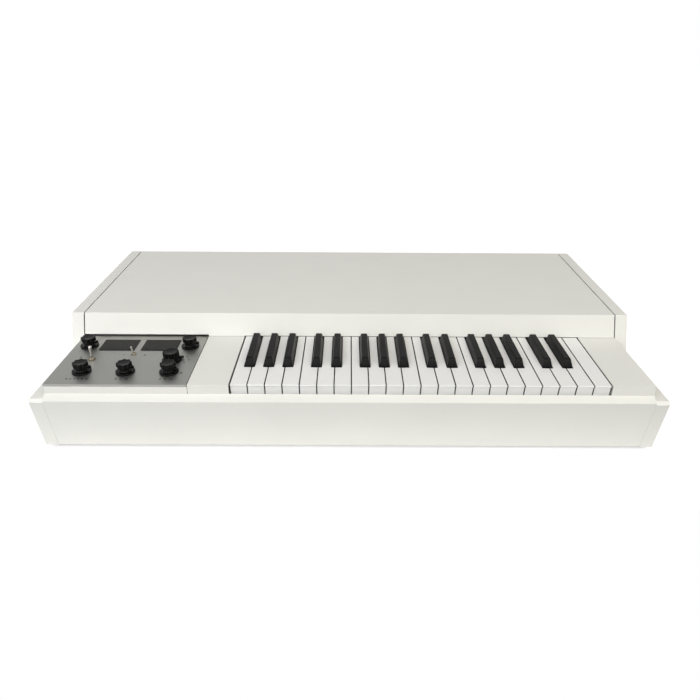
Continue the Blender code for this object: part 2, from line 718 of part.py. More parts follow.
def build_control_board(finish):
    """Circuit board with the potentiometers, the toggles' bodies and the pads that the displays lie on."""
    margin = WALL + 2 * FIT
    low = (CONTROL_LEFT + margin, margin, BOARD_TOP - BOARD_SHEET)
    high = (CONTROL_LEFT + CONTROL_WIDTH - margin, PLAY_DEPTH + BOARD - margin, BOARD_TOP)
    board = piece("control_board", block(low, high), finish)
    root = BOARD_TOP - BOARD_SHEET / 2
    pot_top = BOARD_TOP + POT_HEIGHT
    pot = [(root, POT_RADIUS), (pot_top, POT_RADIUS), (pot_top, BUSH), (BUSH_TOP, BUSH)]
    spindles = [(x, y) for _, x, y, _ in knob_places()] + [selector_place()]
    solids = [at(turned(pot, 20), x, y) for x, y in spindles]
    large, small = toggle_places()
    switches = (
        (large, LARGE_BUSH, LARGE_BUSH_RISE, LARGE_BALL),
        (small, SMALL_BUSH, SMALL_BUSH_RISE, SMALL_BALL),
    )
    bores = []
    for (x, y), bush, rise, ball in switches:
        shoulder = PANEL_UNDER - PLATE
        switch = [(root, bush + FIT), (shoulder, bush + FIT), (shoulder, bush), (PLAY_HEIGHT + rise, bush)]
        solids.append(at(turned(switch, 20), x, y))
        pivot = lever_pivot(rise, ball)
        bore = ball + SPINDLE_GAP
        bores.append(at(turned([(pivot - bore, bore), (pivot + 2 * bore, bore)], 16), x, y))
    pad_top = PANEL_UNDER - 2 * FIT - DISPLAY_BODY
    for left in display_lefts():
        for end in (left - DISPLAY_RIM, left + DISPLAY_WIDTH):
            corner = (end + DISPLAY_RIM, DISPLAY_ROW + DISPLAY_RIM, pad_top)
            solids.append(block((end, DISPLAY_ROW - DISPLAY_RIM, root), corner))
    join(board, together(solids))
    bore = SPINDLE + SPINDLE_GAP
    floor = PLAY_HEIGHT - SPINDLE_DEPTH - FIT
    bores += [at(turned([(floor, bore), (PLAY_HEIGHT, bore)], 16), x, y) for x, y in spindles]
    cut(board, together(bores))


def build_connector_unit(finish):
    """The plate behind the bay, its sockets, and the main board that carries them."""
    front = BAY_SHEET_FRONT
    back = front + CONNECTOR_PLATE
    left, right = BAY_MIDDLE - BAY_WIDTH / 2, BAY_MIDDLE + BAY_WIDTH / 2
    low = (left - BAY_FLANGE, front, BAY_FLOOR - BAY_FLANGE)
    high = (right + BAY_FLANGE, back, BAY_FLOOR + BAY_HEIGHT + BAY_FLANGE)
    unit = piece("connector_unit", block(low, high), finish)
    height = BAY_FLOOR + BAY_HEIGHT / 2
    root = front + CONNECTOR_PLATE / 2
    bodies, bores = [], []
    along_depth = Matrix.Rotation(math.radians(-90), 4, "X")

    def socket(x, half_width, half_height, depth, bore):
        inner = (x - half_width, root - depth - SOCKET_WALL, height - half_height)
        bodies.append(block(inner, (x + half_width, root, height + half_height)))
        bores.append(bore)

    def round_bore(x, radius, depth):
        bore = turned([(0, radius), (depth + CONNECTOR_PLATE, radius)], 20)
        return moved(bore, Matrix.Translation((x, root - depth, height)) @ along_depth)

    x = left + SOCKET_SPACING * 0.7
    body_half = DIN_RADIUS + SOCKET_WALL
    for _ in range(4):
        socket(x, JACK_RADIUS + SOCKET_WALL, body_half, JACK_DEPTH, round_bore(x, JACK_RADIUS, JACK_DEPTH))
        x += SOCKET_SPACING
    for _ in range(2):
        x += SOCKET_WALL
        socket(x, body_half, body_half, DIN_DEPTH, round_bore(x, DIN_RADIUS, DIN_DEPTH))
        x += SOCKET_SPACING
    x = right - INLET_WIDTH / 2 - 3 * SOCKET_WALL
    half = (INLET_WIDTH / 2, INLET_HEIGHT / 2)
    inlet = block(
        (x - half[0], root - INLET_DEPTH, height - half[1]),
        (x + half[0], back + CONNECTOR_PLATE, height + half[1]),
    )
    socket(x, half[0] + SOCKET_WALL, body_half + FIT, INLET_DEPTH, inlet)
    join(unit, together(bodies))
    bottom = height - body_half
    board_left, board_front = left, root - MAIN_BOARD_DEPTH
    board = ((board_left, board_front, bottom - BOARD_SHEET / 2), (right, root, bottom + BOARD_SHEET / 2))
    join(unit, block(*board))
    post = [(BASE_BOARD + FIT, SOCKET_WALL), (bottom, SOCKET_WALL)]
    inset = 2 * SOCKET_WALL
    columns, rows = (left + inset, right - inset), (board_front + inset, root - inset)
    join(unit, together([at(turned(post, 12), column, row) for column in columns for row in rows]))
    cut(unit, together(bores))


def main():
    clear_scene()
    centre = (BACK - LEDGE_REACH) / 2
    frame = bpy.data.objects.new("cabinet_frame", None)
    frame.location = (0, -centre, FOOT_HEIGHT)
    bpy.context.scene.collection.objects.link(frame)

    paint = material("white_lacquered_board", (0.78, 0.77, 0.70), 0.45)
    raw = material("sealed_fibreboard", (0.12, 0.10, 0.08), 0.8)
    natural = material("natural_key_plastic", (0.80, 0.80, 0.80), 0.3)
    sharp = material("sharp_key_plastic", (0.02, 0.02, 0.02), 0.4)
    steel = material("zinc_plated_steel", (0.55, 0.55, 0.53), 0.4, 1.0)
    anodised = material("anodised_aluminium", (0.40, 0.40, 0.39), 0.38, 1.0)
    phenolic = material("black_phenolic", (0.015, 0.015, 0.016), 0.22)
    chrome = material("nickel_plating", (0.80, 0.79, 0.77), 0.12, 1.0)
    screen = material("display_glass", (0.03, 0.03, 0.025), 0.12)
    laminate = material("circuit_board", (0.02, 0.09, 0.04), 0.5)

    build_sides(paint)
    build_base(raw)
    build_rail(paint)
    build_control_box(paint)
    build_cheeks(paint)
    build_hood(paint)
    build_rear_panel(paint)
    build_key_frame(steel)
    build_keys(natural, sharp)
    build_panel(anodised)
    build_displays(screen)
    build_control_board(laminate)
    build_knobs(phenolic)
    build_levers(chrome)
    build_connector_unit(steel)


main()
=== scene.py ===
"""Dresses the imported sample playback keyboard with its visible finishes, trim, light and camera.

The boards, keys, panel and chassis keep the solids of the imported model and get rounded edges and
procedural materials. Knobs, levers, switches, feet, sockets, screws and plain numerals are modelled here.
All lengths are in metres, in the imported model's frame: +X to the treble end, +Y to the back, +Z up.
"""

import json
import math

import bmesh
import bpy
from mathutils import Matrix, Vector


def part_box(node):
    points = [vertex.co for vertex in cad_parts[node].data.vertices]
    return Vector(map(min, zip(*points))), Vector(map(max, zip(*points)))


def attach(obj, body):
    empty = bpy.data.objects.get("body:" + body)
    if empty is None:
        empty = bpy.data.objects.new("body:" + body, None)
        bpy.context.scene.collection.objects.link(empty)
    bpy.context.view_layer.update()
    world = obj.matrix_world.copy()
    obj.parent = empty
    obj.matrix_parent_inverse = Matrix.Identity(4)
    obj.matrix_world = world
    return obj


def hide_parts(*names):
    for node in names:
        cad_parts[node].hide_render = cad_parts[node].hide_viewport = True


bl_info = {
    "name": "Playback Keyboard Dressing",
    "version": (1, 0, 0),
    "blender": (4, 5, 0),
    "location": "View3D > Sidebar > Playback Keyboard",
    "description": "Finishes, trim, light and camera for a sample playback keyboard",
    "category": "Object",
}

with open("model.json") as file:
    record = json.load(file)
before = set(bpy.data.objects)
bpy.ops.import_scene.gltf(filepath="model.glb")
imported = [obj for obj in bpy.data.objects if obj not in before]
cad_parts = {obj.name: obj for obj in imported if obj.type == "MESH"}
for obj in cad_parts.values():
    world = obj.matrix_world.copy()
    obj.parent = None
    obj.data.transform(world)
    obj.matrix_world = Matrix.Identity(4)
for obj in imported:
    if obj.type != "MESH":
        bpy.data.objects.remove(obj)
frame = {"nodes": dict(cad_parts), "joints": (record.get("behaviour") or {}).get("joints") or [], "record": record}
NODES = frame["nodes"]
AXES = {joint["child"]: joint["pos_m"] for joint in frame["joints"]}
OPENINGS = {opening["name"]: opening["box_m"] for opening in frame["record"]["physics"]["openings"]}
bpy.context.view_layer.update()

MM = 0.001
CABINET = "cabinet"
THIN_EDGED = ("side_panel_left", "side_panel_right", "front_rail")
SOFT_EDGED = ("hood", "control_box", "cheek_left", "cheek_right", "rear_panel")
NATURALS = sorted(name for name in NODES if name.startswith("white_key"))
SHARPS = sorted(name for name in NODES if name.startswith("black_key"))
KNOBS = ("knob_rear_left", "knob_rear_right", "knob_front_left", "knob_front_middle", "knob_front_right")
DISPLAYS = ("display_left", "display_right")
# Each toggle lever with its length from the pivot, the radius of its ball, the radius of its bush, how far
# that stands over the panel, and the radius of its washer.
LEVERS = (
    ("toggle_lever_large", 18.4 * MM, 2.3 * MM, 3.4 * MM, 4 * MM, 6.3 * MM),
    ("toggle_lever_small", 11.8 * MM, 1.5 * MM, 2.3 * MM, 2.6 * MM, 3.9 * MM),
)
PANEL_LOW, PANEL_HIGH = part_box("control_panel")
BOARD_LOW, BOARD_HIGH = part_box("control_board")
BASE_LOW, BASE_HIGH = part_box("base_board")
UNIT_LOW, UNIT_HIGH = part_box("connector_unit")
FACE = PANEL_HIGH.z  # the panel's upper face
LAMINATE = 1.6 * MM  # thickness of both circuit boards
PROUD = 0.03 * MM  # flush screw heads stand this far out of the bottom board, and print is twice as thick
# A Mix node's colour sockets share their names with its other kinds, so they are taken by number.
FIRST, SECOND, MIXED = 6, 7, 2
# Area lamps: name, place, aim, size, power and colour
LAMPS = (
    ("left_light", (-1.5, -1.8, 1.3), (-0.3, 0, 0.08), (2.4, 1.8), 34, "F8FBFF"),
    ("high_left_light", (-0.9, -1.5, 2.1), (-0.3, 0, 0.08), (2, 1.4), 9, "FDFEFF"),
    ("high_right_light", (1, -1.5, 2.1), (0.3, 0, 0.08), (2, 1.4), 34, "FFF9EC"),
    ("back_light", (-0.6, 1.2, 1.6), (-0.1, 0, 0.1), (1.6, 1.2), 1.5, "FFFFFF"),
)


def linear(code):
    """The linear colour of an sRGB hex value."""
    shares = [int(code[place : place + 2], 16) / 255 for place in (0, 2, 4)]
    return [share / 12.92 if share <= 0.04045 else ((share + 0.055) / 1.055) ** 2.4 for share in shares]


def colour_setting(name, description, code):
    return bpy.props.FloatVectorProperty(
        name=name, description=description, default=linear(code), subtype="COLOR", size=3, min=0, max=1
    )


def length_setting(name, description, default):
    return bpy.props.FloatProperty(
        name=name, description=description, default=default, subtype="DISTANCE", unit="LENGTH", min=0
    )


def angle_setting(name, description, degrees):
    return bpy.props.FloatProperty(
        name=name, description=description, default=math.radians(degrees), subtype="ANGLE"
    )


class CabinetSettings(bpy.types.PropertyGroup):
    lacquer: colour_setting("Lacquer", "Colour of the sprayed boards", "EEEEE9")
    fibreboard: colour_setting("Fibreboard", "Colour of the sealed bottom board", "5A4A38")
    edge: length_setting("Edge", "Rounding of the hood's and blocks' edges", 0.7 * MM)
    thin_edge: length_setting("Thin edge", "Rounding of the rail's and side boards' edges", 0.3 * MM)
    foot_height: length_setting("Foot height", "Height of the rubber feet", 6 * MM)


class KeySettings(bpy.types.PropertyGroup):
    natural: colour_setting("Naturals", "Colour of the white key tops", "F6F6F5")
    sharp: colour_setting("Sharps", "Colour of the black keys", "151516")
    edge: length_setting("Edge", "Rounding of the moulded edges", 0.5 * MM)
    chassis: colour_setting("Chassis", "Colour of the zinc-plated steel", "A8A7A2")


class PanelSettings(bpy.types.PropertyGroup):
    anodising: colour_setting("Anodising", "Colour of the satin aluminium plate", "B0B0AC")
    glass: colour_setting("Display", "Colour of the unlit displays", "20201E")
    ink: colour_setting("Print", "Colour of the plain numerals", "101010")
    numeral: length_setting("Numeral height", "Height of the plain numerals", 5 * MM)


class KnobSettings(bpy.types.PropertyGroup):
    phenolic: colour_setting("Phenolic", "Colour of the moulded knobs", "070707")
    plating: colour_setting("Plating", "Colour of nickel-plated levers, spindles and collars", "BDBBB5")
    brass: colour_setting("Brass", "Colour of the potentiometer bushes and board posts", "8C7850")
    skirt: length_setting("Skirt", "Radius of a small knob's skirt", 13.1 * MM)
    cap: length_setting("Cap", "Radius of a small knob's lobed cap", 10.6 * MM)
    selector: length_setting("Selector", "Radius of the selector's barrel", 11.5 * MM)


class StageSettings(bpy.types.PropertyGroup):
    lens: bpy.props.FloatProperty(
        name="Lens",
        description="Focal length for a 36 mm wide sensor",
        default=30.973,
        subtype="DISTANCE_CAMERA",
    )
    camera_place: bpy.props.FloatVectorProperty(
        name="Camera",
        description="Place of the camera",
        default=(-0.00303, -0.91512, 0.53001),
        subtype="XYZ",
    )
    pitch: angle_setting("Pitch", "Camera's tilt below level", 27.96)
    yaw: angle_setting("Yaw", "Camera's turn to the right", 0.332)
    roll: angle_setting("Roll", "Camera's roll", 0.422)
    shift: bpy.props.FloatProperty(name="Shift", description="Horizontal lens shift", default=-0.00173)


SETTINGS = {
    "playback_cabinet": CabinetSettings,
    "playback_keys": KeySettings,
    "playback_panel": PanelSettings,
    "playback_knobs": KnobSettings,
    "playback_stage": StageSettings,
}


def settings(name):
    return getattr(bpy.context.scene, f"playback_{name}")


def add(tree, kind, inputs=None, **options):
    """Adds a node with its options, and fills its inputs with values or with other nodes' outputs."""
    node = tree.nodes.new(kind)
    for name, value in options.items():
        setattr(node, name, value)
    for name, value in (inputs or {}).items():
        if isinstance(value, bpy.types.NodeSocket):
            tree.links.new(value, node.inputs[name])
        else:
            node.inputs[name].default_value = value
    return node


def finish(name, colour, roughness, **sockets):
    """A material with its constants on the shader's own sockets. It returns the material and its shader."""
    made = bpy.data.materials.new(name)
    made.use_nodes = True
    shader = made.node_tree.nodes["Principled BSDF"]
    shader.inputs["Base Color"].default_value = (*colour, 1)
    shader.inputs["Roughness"].default_value = roughness
    for socket, value in sockets.items():
        title = {"ior": "IOR", "specular": "Specular IOR Level"}.get(socket, socket.title())
        shader.inputs[title].default_value = value
    return made, shader


def grain(shader, spacing, stretch=(1, 1, 1), detail=3, colour=None, share=0.0, gloss=None, relief=0.0):
    """Lays one pattern over a surface: it darkens the colour by a share, spreads the roughness between
    two values, and stands out as a relief. Stretch below one draws the pattern out along that direction."""
    tree = shader.id_data
    place = add(tree, "ShaderNodeTexCoord").outputs["Object"]
    place = add(tree, "ShaderNodeMapping", {"Vector": place, "Scale": stretch}).outputs[0]
    pattern = add(tree, "ShaderNodeTexNoise", {"Vector": place, "Scale": 1 / spacing, "Detail": detail})
    height = pattern.outputs["Fac"]
    if share:
        ramp = add(tree, "ShaderNodeValToRGB", {"Fac": height})
        low, high = ramp.color_ramp.elements
        low.position, high.position = 0.3, 0.7
        low.color = (*[value * (1 - share) for value in colour], 1)
        high.color = (*colour, 1)
        tree.links.new(ramp.outputs["Color"], shader.inputs["Base Color"])
    if gloss:
        limits = {"From Min": 0.3, "From Max": 0.7, "To Min": gloss[0], "To Max": gloss[1]}
        spread = add(tree, "ShaderNodeMapRange", {"Value": height, **limits})
        tree.links.new(spread.outputs["Result"], shader.inputs["Roughness"])
    if relief:
        bump = add(tree, "ShaderNodeBump", {"Height": height, "Distance": relief})
        tree.links.new(bump.outputs["Normal"], shader.inputs["Normal"])


def paint_shade_in_gaps(shader, reach, colour, open_sky=0.42, sides=None, closed=0.22):
    """Paints shade into a surface's colour where others stand close to it, in the gaps between pieces.
    From the share of open sky given, it keeps its own colour. Faces that look along X may have a share of their
    own.
    Below the closed share of that, it has the painted shade's colour."""
    tree = shader.id_data
    near = add(tree, "ShaderNodeAmbientOcclusion", {"Distance": reach}, samples=8)
    clear = open_sky
    if sides:
        normal = add(tree, "ShaderNodeNewGeometry").outputs["Normal"]
        along = add(tree, "ShaderNodeSeparateXYZ", {"Vector": normal}).outputs["X"]
        along = add(tree, "ShaderNodeMath", {0: along}, operation="ABSOLUTE").outputs[0]
        limits = {"Value": along, "From Min": 0.15, "From Max": 0.6, "To Min": open_sky, "To Max": sides}
        clear = add(tree, "ShaderNodeMapRange", limits).outputs["Result"]
    low = add(tree, "ShaderNodeMath", {0: closed, 1: clear}, operation="MULTIPLY").outputs[0]
    limits = {"Value": near.outputs["AO"], "From Min": low, "From Max": clear}
    unshaded = add(tree, "ShaderNodeMapRange", limits).outputs["Result"]
    whole = shader.inputs["Base Color"].links[0].from_socket
    inputs = {0: unshaded, FIRST: (*colour, 1), SECOND: whole}
    # The painted shade is mixed into the base colour here.
    blend = add(tree, "ShaderNodeMix", inputs, data_type="RGBA")
    tree.links.new(blend.outputs[MIXED], shader.inputs["Base Color"])


def sprayed_lacquer(name, shade, reach, sides):
    """Sprayed satin lacquer on fibreboard: a soft sheen over a faint orange peel, never quite one white.
    Shade is the colour of the shade painted into the seams, and reach and sides tell how far it spreads out of
    them."""
    colour = list(settings("cabinet").lacquer)
    made, shader = finish(name, colour, 0.4, ior=1.5)
    # Orange peel ripples every few millimetres.
    grain(shader, 5 * MM, relief=0.02 * MM)
    grain(shader, 70 * MM, colour=colour, share=0.025, gloss=(0.36, 0.46))
    # Shade is painted into the seams, where other boards stand close.
    paint_shade_in_gaps(shader, reach, linear(shade), 0.45, sides)
    return made


def sealed_fibreboard():
    """Sealed fibreboard: dull and brown, with short matted fibres."""
    colour = list(settings("cabinet").fibreboard)
    made, shader = finish("sealed_fibreboard", colour, 0.75)
    grain(shader, 2 * MM, (1, 0.3, 1), 6, colour, 0.35, (0.7, 0.85), 0.1 * MM)
    return made


def moulded_rubber():
    """Moulded rubber: nearly black, dull, with a fine grain."""
    colour = linear("1B1B1B")
    made, shader = finish("moulded_rubber", colour, 0.8)
    grain(shader, 0.8 * MM, detail=4, colour=colour, share=0.3, gloss=(0.7, 0.9), relief=0.05 * MM)
    return made


def natural_abs():
    """Polished moulded ABS: a clean, slightly cool white with sharp reflections and faint sink marks."""
    colour = list(settings("keys").natural)
    made, shader = finish("polished_white_abs", colour, 0.16, ior=1.53)
    # Sink marks lie a few centimetres apart. Playing wear spreads the gloss in smaller patches.
    grain(shader, 25 * MM, detail=1, relief=0.04 * MM)
    grain(shader, 12 * MM, detail=4, colour=colour, share=0.012, gloss=(0.12, 0.22))
    # Shade is painted into the gaps between the keys and under the hood's edge, darkest on the keys' sides.
    paint_shade_in_gaps(shader, 2.5 * MM, linear("0C0C0B"), 0.42, 1.0, 0.6)
    return made


def sharp_abs():
    """Spark-eroded black ABS: a fine grain that turns highlights into a grey satin sheen."""
    colour = list(settings("keys").sharp)
    made, shader = finish("grained_black_abs", colour, 0.36, ior=1.53, specular=0.1)
    # The real grain is near 0.1 mm. It is drawn coarser, so that it shows at all.
    grain(shader, 0.7 * MM, detail=4, gloss=(0.3, 0.44), relief=0.02 * MM)
    grain(shader, 15 * MM, colour=colour, share=0.2)
    return made


def anodised_aluminium():
    """Brushed and anodised aluminium: fine lines along the panel under an even satin skin."""
    colour = list(settings("panel").anodising)
    made, shader = finish("brushed_anodised_aluminium", colour, 0.42, metallic=1.0)
    # Brush lines are near 0.1 mm apart. They are drawn at 0.5 mm, so that they show.
    grain(shader, 0.5 * MM, (0.02, 1, 1), 3, colour, 0.08, (0.38, 0.48), 0.01 * MM)
    # Shade is painted into the panel's colour where the hood, knobs and other pieces stand close to it.
    paint_shade_in_gaps(shader, 5 * MM, linear("101010"))
    return made


def smoked_acrylic():
    """Smoked acrylic over an unlit display: dark grey with a clear reflection and a little dust."""
    colour = list(settings("panel").glass)
    made, shader = finish("smoked_acrylic", colour, 0.12, ior=1.49, specular=0.1)
    grain(shader, 5 * MM, detail=5, colour=colour, share=0.12, gloss=(0.09, 0.18))
    return made


def moulded_phenolic():
    """Moulded phenolic resin: deep black, softly glossy, with slight flow marks."""
    colour = list(settings("knobs").phenolic)
    made, shader = finish("moulded_phenolic", colour, 0.24, ior=1.6, specular=0.1)
    grain(shader, 6 * MM, colour=colour, share=0.25, gloss=(0.18, 0.3), relief=0.02 * MM)
    return made


def metal(name, colour, low, high, spacing):
    """A metal whose sheen wanders a little, as handling and plating leave it."""
    made, shader = finish(name, colour, low, metallic=1.0)
    grain(shader, spacing, detail=4, colour=colour, share=0.12, gloss=(low, high))
    return made


def dulled_nickel():
    """Nickel plate dulled by handling: a warm grey, with shade painted in where nut, washer and panel meet."""
    colour = linear("A8A294")
    made, shader = finish("dulled_nickel_plate", colour, 0.3, metallic=1.0)
    grain(shader, 2 * MM, detail=4, colour=colour, share=0.12, gloss=(0.26, 0.4))
    # Shade is painted in where nut, washer and panel meet.
    paint_shade_in_gaps(shader, 1.2 * MM, linear("0A0A0A"), 0.55)
    return made


def soldered_laminate():
    """Epoxy laminate under green solder mask: a glassy skin over a faint weave."""
    colour = linear("1E5A38")
    made, shader = finish("green_solder_mask", colour, 0.3)
    grain(shader, 1.5 * MM, (1, 1, 0.2), 2, colour, 0.25, (0.24, 0.38), 0.03 * MM)
    return made


def filled_nylon():
    """Glass-filled nylon: black, satin, a little uneven."""
    colour = linear("161617")
    made, shader = finish("glass_filled_nylon", colour, 0.5)
    grain(shader, 1.2 * MM, detail=4, colour=colour, share=0.25, gloss=(0.42, 0.6), relief=0.02 * MM)
    return made


def printed_ink():
    """Screen-printed ink: thin, dark and flat."""
    colour = list(settings("panel").ink)
    made, shader = finish("screen_printed_ink", colour, 0.6)
    grain(shader, 1.5 * MM, colour=colour, share=0.2, gloss=(0.5, 0.7))
    return made


FINISHES = {}


def material(builder, *words):
    """The one material that a builder makes under a name, however many pieces wear it."""
    key = (builder, words[:1])
    if key not in FINISHES:
        FINISHES[key] = builder(*words)
    return FINISHES[key]


def nickel():
    return material(metal, "nickel_plated_brass", list(settings("knobs").plating), 0.1, 0.2, 4 * MM)


def brass():
    return material(metal, "machined_brass", list(settings("knobs").brass), 0.22, 0.36, 3 * MM)


def zinc():
    return material(metal, "zinc_plated_steel", list(settings("keys").chassis), 0.3, 0.48, 12 * MM)


def black_steel():
    return material(metal, "blackened_steel", linear("3A3A3C"), 0.3, 0.45, 3 * MM)


def dress(name, made, edge=0.0, angle=25):
    """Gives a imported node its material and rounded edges. Its triangles are welded before the bevel."""
    node = NODES[name]
    node.data.materials.clear()
    node.data.materials.append(made)
    if not edge:
        node.data.shade_flat()
        return
    node.data.shade_smooth()
    weld = node.modifiers.new("Weld", "WELD")
    weld.merge_threshold = 0.01 * MM
    bevel = node.modifiers.new("Edges", "BEVEL")
    bevel.width = edge
    bevel.segments = 2
    bevel.limit_method = "ANGLE"
    bevel.angle_limit = math.radians(angle)
    bevel.use_clamp_overlap = True
    # Large faces keep their own direction, so that they shade flat beside the rounded ones.
    level = node.modifiers.new("Flat faces", "WEIGHTED_NORMAL")
    level.weight = 100


def new_piece(name, bm, made, body=CABINET, smooth=30, replaced=()):
    """Makes an object of a finished bmesh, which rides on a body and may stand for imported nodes."""
    bmesh.ops.recalc_face_normals(bm, faces=bm.faces)
    mesh = bpy.data.meshes.new(name)
    bm.to_mesh(mesh)
    bm.free()
    obj = bpy.data.objects.new(name, mesh)
    bpy.context.scene.collection.objects.link(obj)
    mesh.materials.append(made)
    mesh.shade_smooth()
    mesh.set_sharp_from_angle(angle=math.radians(smooth))
    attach(obj, body)
    if replaced:
        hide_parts(*replaced)
    return obj


def gathered(solids):
    """Several solids in one mesh."""
    bm = bmesh.new()
    for solid in solids:
        mesh = bpy.data.meshes.new("gathered")
        solid.to_mesh(mesh)
        solid.free()
        bm.from_mesh(mesh)
        bpy.data.meshes.remove(mesh)
    return bm


def cut(bm, *cutters):
    """Takes solids out of a solid, and keeps only what is left of it."""
    holders = []
    for name, solid in (("cut_body", bm), ("cut_tool", gathered(cutters))):
        mesh = bpy.data.meshes.new(name)
        solid.to_mesh(mesh)
        solid.free()
        holders.append(bpy.data.objects.new(name, mesh))
        bpy.context.scene.collection.objects.link(holders[-1])
    body, tool = holders
    carve = body.modifiers.new("Carve", "BOOLEAN")
    carve.solver = "EXACT"
    carve.use_self = True
    carve.object = tool
    evaluated = body.evaluated_get(bpy.context.evaluated_depsgraph_get())
    left = bpy.data.meshes.new_from_object(evaluated)
    carved = bmesh.new()
    carved.from_mesh(left)
    for mesh in (left, body.data, tool.data):
        bpy.data.meshes.remove(mesh)
    return carved


def moved(bm, *matrices):
    for matrix in matrices:
        bm.transform(matrix)
    return bm


def at(bm, x, y, z):
    return moved(bm, Matrix.Translation((x, y, z)))


def facing_back(bm, x, y, z):
    """Turns a solid that stands along +Z to stand out of the cabinet's back."""
    return moved(bm, Matrix.Rotation(math.radians(-90), 4, "X"), Matrix.Translation((x, y, z)))


def bevelled(bm, edges, offset, segments=2):
    """Rounds or chamfers some edges of a solid."""
    bmesh.ops.bevel(
        bm, geom=edges, affect="EDGES", offset=offset, segments=segments, profile=0.5, material=-1
    )


def block(low, high, edge=0.0):
    """A box between two corners, with rounded edges if asked."""
    low, high = Vector(low), Vector(high)
    bm = bmesh.new()
    size = Matrix.Diagonal((*(high - low), 1))
    bmesh.ops.create_cube(bm, size=1, matrix=Matrix.Translation((low + high) / 2) @ size)
    if edge:
        bevelled(bm, bm.edges[:], edge)
    return bm


def plate(width, depth, low, high, corner, edge=0.2 * MM):
    """A flat plate about the origin, with round corners and broken edges."""
    bm = block((-width / 2, -depth / 2, low), (width / 2, depth / 2, high))

    def upright(side):
        return abs(side.verts[0].co.z - side.verts[1].co.z) > (high - low) / 2

    bevelled(bm, [side for side in bm.edges if upright(side)], corner, 6)
    bevelled(bm, [side for side in bm.edges if not upright(side)], edge, 1)
    return bm


def turned(rings, segments=48, capped=True):
    """A body about +Z. Each ring is a height and a radius, or a height and the radius at an angle."""
    bm = bmesh.new()
    ring = bmesh.ops.create_circle(bm, segments=segments, radius=1)["verts"]
    edges = bm.edges[:]
    if capped:
        bm.faces.new(ring)
    for number, (height, radius) in enumerate(rings):
        if number:
            made = bmesh.ops.extrude_edge_only(bm, edges=edges)["geom"]
            ring = [item for item in made if isinstance(item, bmesh.types.BMVert)]
            sides = [item for item in made if isinstance(item, bmesh.types.BMEdge)]
            edges = [side for side in sides if set(side.verts) <= set(ring)]
        for vert in ring:
            angle = math.atan2(vert.co.y, vert.co.x)
            reach = radius(angle) if callable(radius) else radius
            vert.co = (reach * math.cos(angle), reach * math.sin(angle), height)
    if capped:
        bm.faces.new(sorted(ring, key=lambda vert: math.atan2(vert.co.y, vert.co.x)))
    else:
        bmesh.ops.bridge_loops(bm, edges=[edge for edge in bm.edges if edge.is_boundary])
    bmesh.ops.recalc_face_normals(bm, faces=bm.faces)
    return bm


def tube(low, high, inner, outer, edge):
    """A washer, collar or bush with broken edges."""
    rings = [
        (low, inner),
        (low, outer - edge),
        (low + edge, outer),
        (high - edge, outer),
        (high, outer - edge),
        (high, inner),
    ]
    return turned(rings, capped=False)


def threaded(low, high, inner, outer, pitch):
    """A bush with ridges round it. They are closed rings, because the helix wouldn't show."""
    rings = [(low, inner)]
    height = low
    while height + pitch < high:
        rings += [(height, outer - pitch / 2), (height + pitch / 2, outer)]
        height += pitch
    rings += [(high - pitch / 3, outer - pitch / 2), (high, outer - pitch), (high, inner)]
    return turned(rings, capped=False)


def hexagon(low, high, across, bore):
    """A hexagonal nut with chamfered corners."""
    half = across / 2

    def flats(angle):
        return half / math.cos((angle + math.pi / 6) % (math.pi / 3) - math.pi / 6)

    chamfer = 0.06 * across
    rings = [
        (low, bore),
        (low, half * 0.98),
        (low + chamfer, flats),
        (high - chamfer, flats),
        (high, half * 0.98),
        (high, bore),
    ]
    return turned(rings, capped=False)


def screw(radius, dome):
    """A cross-slotted screw about +Z. Its head starts at zero, and is sunk flush if its dome is zero."""
    neck = radius * 0.5
    rings = [(-2 * radius, neck), (-radius * 0.55, neck)]
    if dome:
        rings += [(0, neck), (0, radius)]
        rings += [(dome * 0.4, radius), (dome * 0.85, radius * 0.8), (dome, radius * 0.45)]
    else:
        rings += [(-radius * 0.1, radius), (0, radius)]
    head = turned(rings, 24)
    half, reach, floor = radius * 0.11, radius * 0.52, dome - radius * 0.5
    head = cut(head, block((-reach, -half, floor), (reach, half, dome + radius)))
    return cut(head, block((-half, -reach, floor), (half, reach, dome + radius)))


def copies(solid, places, turn=None):
    """One solid at several places, turned first if asked."""
    made = []
    for place in places:
        copy = solid.copy()
        matrix = Matrix.Translation(place) @ (turn or Matrix())
        made.append(moved(copy, matrix))
    solid.free()
    return gathered(made)


def axis_of(node):
    return Vector(AXES[node])


def bearing(node):
    """Angle of a knob's pointer, which is the part of it that lies furthest from its axis."""
    axis = axis_of(node)
    reaches = [vert.co - axis for vert in NODES[node].data.vertices]
    tip = max(reaches, key=lambda reach: reach.xy.length)
    return math.atan2(tip.y, tip.x)


def lobed(radius, count, depth):
    """Radius round a knob: broad lobes with a scallop between each two."""
    return lambda angle: radius - depth * ((1 - math.cos(count * angle)) / 2) ** 2


def pointer(start, end, low, high):
    """A raised block on a knob's skirt, a little narrower and lower towards its upright end."""
    bm = block((start, -2.5 * MM, low), (end, 2.5 * MM, high))
    for vert in bm.verts:
        if vert.co.x > (start + end) / 2:
            vert.co.y *= 0.84
            vert.co.z -= 0.4 * MM if vert.co.z > (low + high) / 2 else 0
    bevelled(bm, bm.edges[:], 0.35 * MM)
    return bm


def skirted(skirt, neck):
    """The lower rings that both kinds of knob share: a thick round skirt that slopes up to the neck."""
    return [
        (0.8 * MM, skirt - 0.5 * MM),
        (1.1 * MM, skirt),
        (1.9 * MM, skirt),
        (2.3 * MM, skirt - 0.4 * MM),
        (2.4 * MM, skirt - 1.1 * MM),
        (2.6 * MM, neck + 1.2 * MM),
        (3.4 * MM, neck + 0.2 * MM),
    ]


